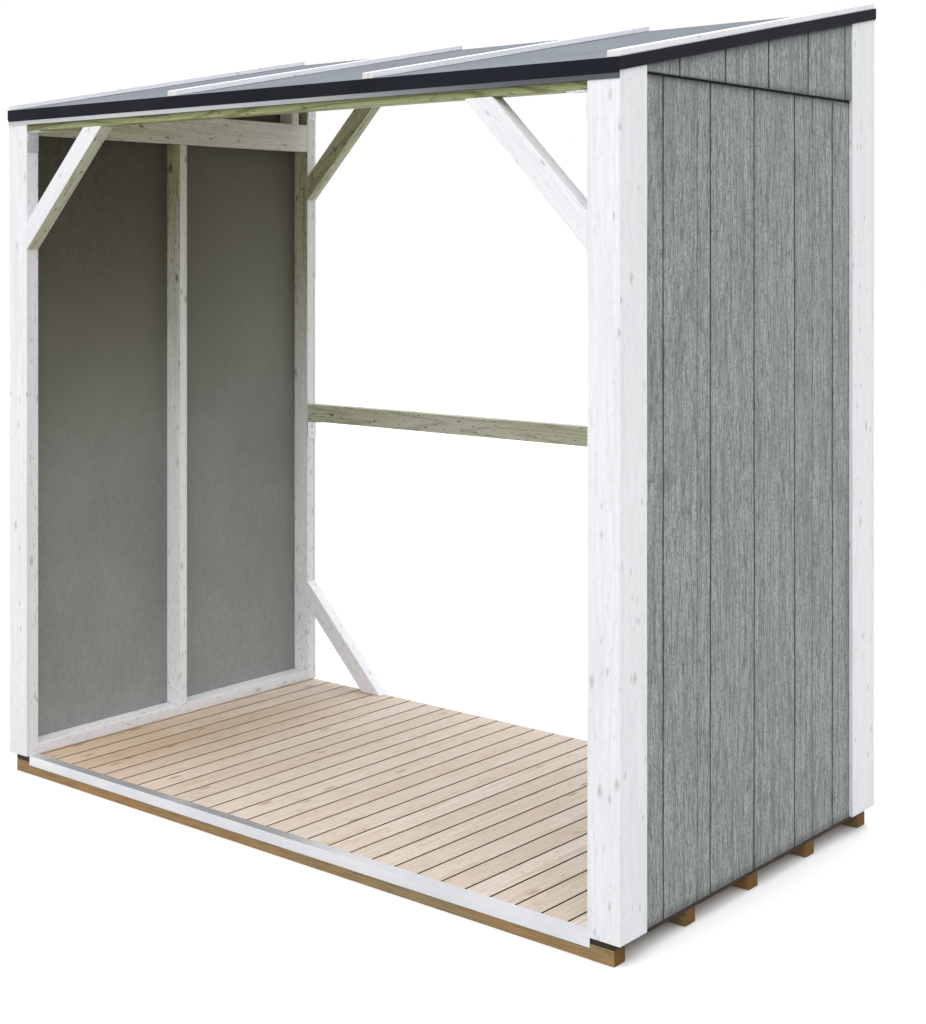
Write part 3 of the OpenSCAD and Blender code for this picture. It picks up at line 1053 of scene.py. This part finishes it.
def sink_felt(mesh):
    """Lets the top face sink by up to a millimetre in soft waves, never above the CAD face."""
    places = vertex_places(mesh)
    underside = FELT_LOW.z + (places[:, 1] - FELT_LOW.y) * SLOPE
    top = places[:, 2] > underside + FELT_TOP
    edge = np.minimum(np.abs(places[:, 0] - FELT_LOW.x), np.abs(FELT_HIGH.x - places[:, 0]))
    edge = np.minimum(edge, np.minimum(places[:, 1] - FELT_LOW.y, FELT_HIGH.y - places[:, 1]))
    wave = smooth_noise(places[:, 0] / FELT_WAVE_X + 40, places[:, 1] / FELT_WAVE_Y + 40, FELT_SEED)
    drop = FELT_WAVE * wave * np.clip(edge / FELT_RIM, 0, 1)
    places[:, 2] -= np.where(top, drop, 0)
    mesh.vertices.foreach_set("co", places.ravel())
    mesh.update()


def add_edges(dark, pale, fascia):
    """Dark strips round the roof, the fascia under the front one and the angle at the sill."""
    timber("front_edge_strip", dark, "dark_edge", ALONG_X, STRIP_EASE, 330)
    timber("back_edge_strip", dark, "dark_edge", ALONG_X, EDGE_EASE, 331)
    timber("left_verge_strip", dark, "dark_edge", PITCH, EDGE_EASE, 332)
    timber("right_verge_strip", dark, "dark_edge", PITCH, EDGE_EASE, 333)
    timber("front_fascia", fascia, "pale_metal", ALONG_X, THIN_EASE, 334)
    timber("sill_angle", pale, "pale_metal", ALONG_X, THIN_EASE, 335)


# ---- Angle brackets ----

BRACKET_T = 2.5 * MM
HOLE_R = 2.4 * MM
SLOT_R = 4.2 * MM
NAIL_R = 3.6 * MM
NAIL_DOME = 0.35
PLATE_EDGE = 0.2 * MM
PLATE_CORNER = 3 * MM
BRACKET_LEVEL = 1.5
HOLES = [(x, y, HOLE_R) for y in (13, 27, 41, 55) for x in (-13, 13)]
HOLES += [(0, 20, SLOT_R), (0, 48, SLOT_R), (0, 34, HOLE_R)]


def disc_outline(centre, radius, count=20):
    """Points round a circle in the plate's plane."""
    return [(centre[0] + radius * math.cos(2 * math.pi * k / count),
             centre[1] + radius * math.sin(2 * math.pi * k / count)) for k in range(count)]


def plate_mesh(width, length, thick):
    """A flat perforated leg: a plate with two cut corners and holes, made as a filled curve."""
    curve = bpy.data.curves.new("plate", "CURVE")
    curve.dimensions = "2D"
    curve.fill_mode = "BOTH"
    curve.extrude = thick / 2 - PLATE_EDGE
    curve.bevel_depth = PLATE_EDGE
    curve.bevel_resolution = 1
    half = width / 2 - PLATE_EDGE
    cut = PLATE_CORNER
    outer = [(-half, 0), (half, 0), (half, length - cut)]
    outer += [(half - cut, length), (-half + cut, length), (-half, length - cut)]
    outlines = [outer] + [disc_outline((x * MM, y * MM), r) for x, y, r in HOLES]
    for outline in outlines:
        spline = curve.splines.new("POLY")
        spline.points.add(len(outline) - 1)
        for point, (x, y) in zip(spline.points, outline):
            point.co = (x, y, 0, 1)
        spline.use_cyclic_u = True
    carrier = bpy.data.objects.new("plate", curve)
    bpy.context.scene.collection.objects.link(carrier)
    bpy.context.view_layer.update()
    mesh = bpy.data.meshes.new_from_object(carrier.evaluated_get(
        bpy.context.evaluated_depsgraph_get()))
    bpy.data.objects.remove(carrier)
    return mesh


def place_mesh(shape, mesh, origin, right, up):
    """Adds a mesh drawn in a plane to shape: its x runs along right and its y along up."""
    out = right.cross(up)
    start = len(shape.verts)
    shape.from_mesh(mesh)
    shape.verts.ensure_lookup_table()
    for vertex in shape.verts[start:]:
        x, y, z = vertex.co
        vertex.co = origin + right * x + up * y + out * z


def nail_mesh():
    """A low domed nail head."""
    shape = bmesh.new()
    bmesh.ops.create_uvsphere(shape, u_segments=14, v_segments=8, radius=NAIL_R)
    for vertex in shape.verts:
        vertex.co.z = max(vertex.co.z, 0) * NAIL_DOME
    bmesh.ops.remove_doubles(shape, verts=shape.verts, dist=0.01 * MM)
    return to_mesh(shape, "nail")


def bracket_boxes():
    """Corners of the six brackets, from the loose pieces of their CAD node."""
    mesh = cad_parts["angle_brackets"].data
    places = vertex_places(mesh)
    brackets = {}
    for p in places:
        key = (p[0] > 0, p[1] > 0, p[2] > BRACKET_LEVEL)
        brackets.setdefault(key, []).append(p)
    return [(np.min(b, 0), np.max(b, 0)) for b in brackets.values()]


def bracket_legs(low, high):
    """Where a bracket's two legs lie: the middle of the bend, and the leg's width and length."""
    side = 1 if high[0] > 0 else -1
    corner = Vector((high[0] if side > 0 else low[0], (low[1] + high[1]) / 2, high[2]))
    inward = Vector((-side, 0, 0))
    half = BRACKET_T / 2
    return [(corner + inward * half, Vector((0, side, 0)), -UP),
            (corner - UP * half, Vector((0, -side, 0)), inward)]


def add_leg(shape, plate, nail, origin, right, up):
    """Adds a perforated leg with a nail in every round hole of the nails' size."""
    place_mesh(shape, plate, origin, right, up)
    out = right.cross(up)
    for x, y, radius in HOLES:
        if radius == HOLE_R:
            head = origin + right * x * MM + up * y * MM + out * (BRACKET_T / 2)
            place_mesh(shape, nail, head, right, up)


def add_brackets(material):
    """Six perforated angles, nailed to a stud and to the piece above it."""
    shape = bmesh.new()
    boxes = bracket_boxes()
    width = boxes[0][1][1] - boxes[0][0][1]
    length = boxes[0][1][2] - boxes[0][0][2]
    plate = plate_mesh(width, length, BRACKET_T)
    nail = nail_mesh()
    for low, high in boxes:
        for leg in bracket_legs(low, high):
            add_leg(shape, plate, nail, *leg)
    mesh = to_mesh(shape, "angle_brackets_piece")
    write_grain(mesh, UP, 340, flat_sawn=0)
    obj = add_object("angle_brackets_piece", mesh)
    return finish_piece(obj, material, "zinc", "angle_brackets")


# ---- Stage ----

SKY_TINT = (0.975, 0.985, 1.0)
SKY_AT_HORIZON = 0.38
SKY_OVERHEAD = 2.35
FLOOR_PALE = (0.92, 0.92, 0.92)
FLOOR_BOUNCE = (0.305, 0.31, 0.265)
FLOOR_REACH = 60
KEY_SIZE = 5
KEY_WATTS = 130
KEY_PLACE = (1.5, -5.5, 6.5)
KEY_TARGET = UP


def add_stage():
    """Plain pale floor. It bounces less light than it shows, as grass or gravel would."""
    shape = bmesh.new()
    bmesh.ops.create_grid(shape, x_segments=1, y_segments=1, size=FLOOR_REACH)
    mesh = to_mesh(shape, "studio_floor")
    ground = add_object("studio_floor", mesh)
    look = Look("Studio_floor")
    rays = look.node("LightPath")
    colour = look.mix(rays.outputs["Is Diffuse Ray"], FLOOR_PALE, FLOOR_BOUNCE)
    mesh.materials.append(look.surface(colour, 0.9))


def add_world():
    """Soft overcast surroundings, brighter overhead; the camera itself sees plain white."""
    world = bpy.data.worlds.new("Studio")
    bpy.context.scene.world = world
    world.use_nodes = True
    tree = world.node_tree
    tree.nodes.clear()
    new, link = tree.nodes.new, tree.links.new
    height = new("ShaderNodeSeparateXYZ")
    link(new("ShaderNodeTexCoord").outputs["Generated"], height.inputs[0])
    strength = new("ShaderNodeMapRange")
    strength.inputs["To Min"].default_value = SKY_AT_HORIZON
    strength.inputs["To Max"].default_value = SKY_OVERHEAD
    link(height.outputs[2], strength.inputs["Value"])
    sky = new("ShaderNodeBackground")
    sky.inputs["Color"].default_value = (*SKY_TINT, 1)
    link(strength.outputs["Result"], sky.inputs["Strength"])
    backdrop = new("ShaderNodeBackground")
    backdrop.inputs["Color"].default_value = (1, 1, 1, 1)
    choice = new("ShaderNodeMixShader")
    link(new("ShaderNodeLightPath").outputs["Is Camera Ray"], choice.inputs[0])
    link(sky.outputs[0], choice.inputs[1])
    link(backdrop.outputs[0], choice.inputs[2])
    link(choice.outputs[0], new("ShaderNodeOutputWorld").inputs["Surface"])


def add_key():
    """One large soft light above the front."""
    lamp = bpy.data.lights.new("Key", "AREA")
    lamp.shape = "RECTANGLE"
    lamp.size = KEY_SIZE
    lamp.size_y = KEY_SIZE
    lamp.energy = KEY_WATTS
    key = bpy.data.objects.new("Key", lamp)
    key.location = KEY_PLACE
    key.rotation_euler = (KEY_TARGET - key.location).to_track_quat("-Z", "Y").to_euler()
    bpy.context.scene.collection.objects.link(key)


SENSOR_MM = 36
LENS_MM = 65.34583
CAMERA_SHIFT = -0.28358531
CAMERA_PLACE = (3.3496, -3.8095, 1.6478)
CAMERA_TURN = math.radians(39.852)


def add_camera():
    """A level camera at eye height in front of the right-hand corner."""
    data = bpy.data.cameras.new("Camera")
    data.sensor_fit = "HORIZONTAL"
    data.sensor_width = SENSOR_MM
    data.lens = LENS_MM
    data.shift_y = CAMERA_SHIFT
    camera = bpy.data.objects.new("Camera", data)
    camera.location = CAMERA_PLACE
    camera.rotation_euler = (math.radians(90), 0, CAMERA_TURN)
    bpy.context.scene.collection.objects.link(camera)
    bpy.context.scene.camera = camera
    bpy.context.scene.view_settings.view_transform = "Standard"


def build():
    """Makes every piece, then the stage, the light and the camera."""
    white = white_wood()
    add_trims(white)
    add_frame(white)
    add_braces(white)
    add_floor(floor_wood(), bearer_wood())
    add_panels(cladding(), panel_back())
    add_roof_boards(bare_wood())
    add_felt(felt())
    add_edges(dark_edge(), pale_metal(), fascia_metal())
    add_brackets(zinc())
    add_stage()
    add_world()
    add_key()
    add_camera()


build()
